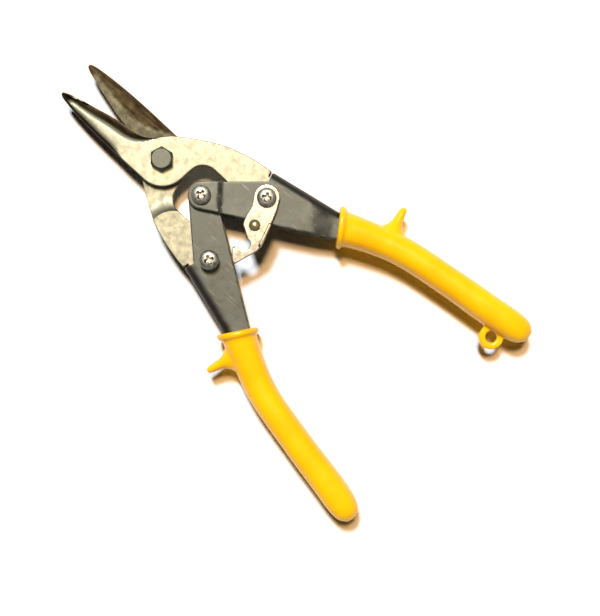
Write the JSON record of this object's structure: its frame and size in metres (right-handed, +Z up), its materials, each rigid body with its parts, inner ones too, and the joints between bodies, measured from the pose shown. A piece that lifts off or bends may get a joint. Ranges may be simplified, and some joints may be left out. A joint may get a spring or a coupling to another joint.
{
  "type": "aviation snips",
  "caption": "Compound-action sheet-metal snips: two forged blades on a hex bolt, stamped steel handles, soft grips, a coil spring and a swinging latch.",
  "frame": {"origin": "on the axis of the blade pivot bolt, at the flat end of its shank, where the tool rests on a table", "axes": "+Z up out of the table along the pivot bolt, on the latch side; +Y forwards, the way the closed jaws point; +X to the right, towards the handle that carries the latch"},
  "size_m": [0.1322, 0.2441, 0.027],
  "materials": {
    "blade_steel": "forged, ground bright and lightly polished",
    "dark_steel": "stamped and blackened, satin, worn at the edges",
    "zinc_plate": "bright zinc plate",
    "fastener_steel": "machined, grey plated",
    "spring_steel": "oiled music wire",
    "grip_pvc": "dipped vinyl, glossy yellow"
  },
  "bodies": {
    "right_handle": {"right_handle": "dark_steel", "right_grip": "grip_pvc", "right_tang_screw": "fastener_steel", "right_tang_nut": "fastener_steel", "tang_spacer_front": "zinc_plate", "tang_spacer_rear": "zinc_plate", "centre_screw": "fastener_steel", "centre_nut": "fastener_steel", "centre_washer_front": "zinc_plate", "centre_washer_rear": "zinc_plate", "centre_sleeve": "zinc_plate", "spring": "spring_steel"},
    "left_handle": {"left_handle": "dark_steel", "left_grip": "grip_pvc", "left_tang_screw": "fastener_steel", "left_tang_nut": "fastener_steel"},
    "top_blade": {"top_blade": "blade_steel", "pivot_bolt": "fastener_steel", "pivot_washer": "zinc_plate", "pivot_nut": "fastener_steel"},
    "bottom_blade": {"bottom_blade": "blade_steel"},
    "latch_washer": {"latch_washer": "zinc_plate"},
    "latch": {"latch": "zinc_plate"}
  },
  "joints": [
    {"name": "centre_pivot", "type": "hinge", "parent": "right_handle", "child": "left_handle", "pos_m": [0, -0.02595, 0.0132], "axis": [0, 0, 1], "range_deg": [0, 33.95], "stiffness_Nm_per_rad": 0.77, "springref_deg": -44.69, "deforming": ["spring"]},
    {"name": "right_tang_pivot", "type": "hinge", "parent": "right_handle", "child": "top_blade", "pos_m": [0.02004, -0.0496, 0.0132], "axis": [0, 0, 1], "range_deg": [0, 8.24]},
    {"name": "blade_pivot", "type": "hinge", "parent": "top_blade", "child": "bottom_blade", "pos_m": [0, 0, 0.0132], "axis": [0, 0, 1], "range_deg": [0, 17.5]},
    {"name": "latch_cam", "type": "hinge", "parent": "right_handle", "child": "latch_washer", "pos_m": [0.02004, -0.0496, 0.0132], "axis": [0, 0, 1], "range_deg": [0, 17.5]},
    {"name": "latch_swing", "type": "hinge", "parent": "latch_washer", "child": "latch", "pos_m": [0.02004, -0.0496, 0.0132], "axis": [0, 0, -1], "range_deg": [-20, 15]}
  ],
  "couplings": [
    {"joint": "right_tang_pivot", "follows": "centre_pivot", "ratio": 0.2423},
    {"joint": "blade_pivot", "follows": "centre_pivot", "ratio": 0.5153},
    {"joint": "latch_cam", "follows": "centre_pivot", "ratio": 0.5125}
  ]
}
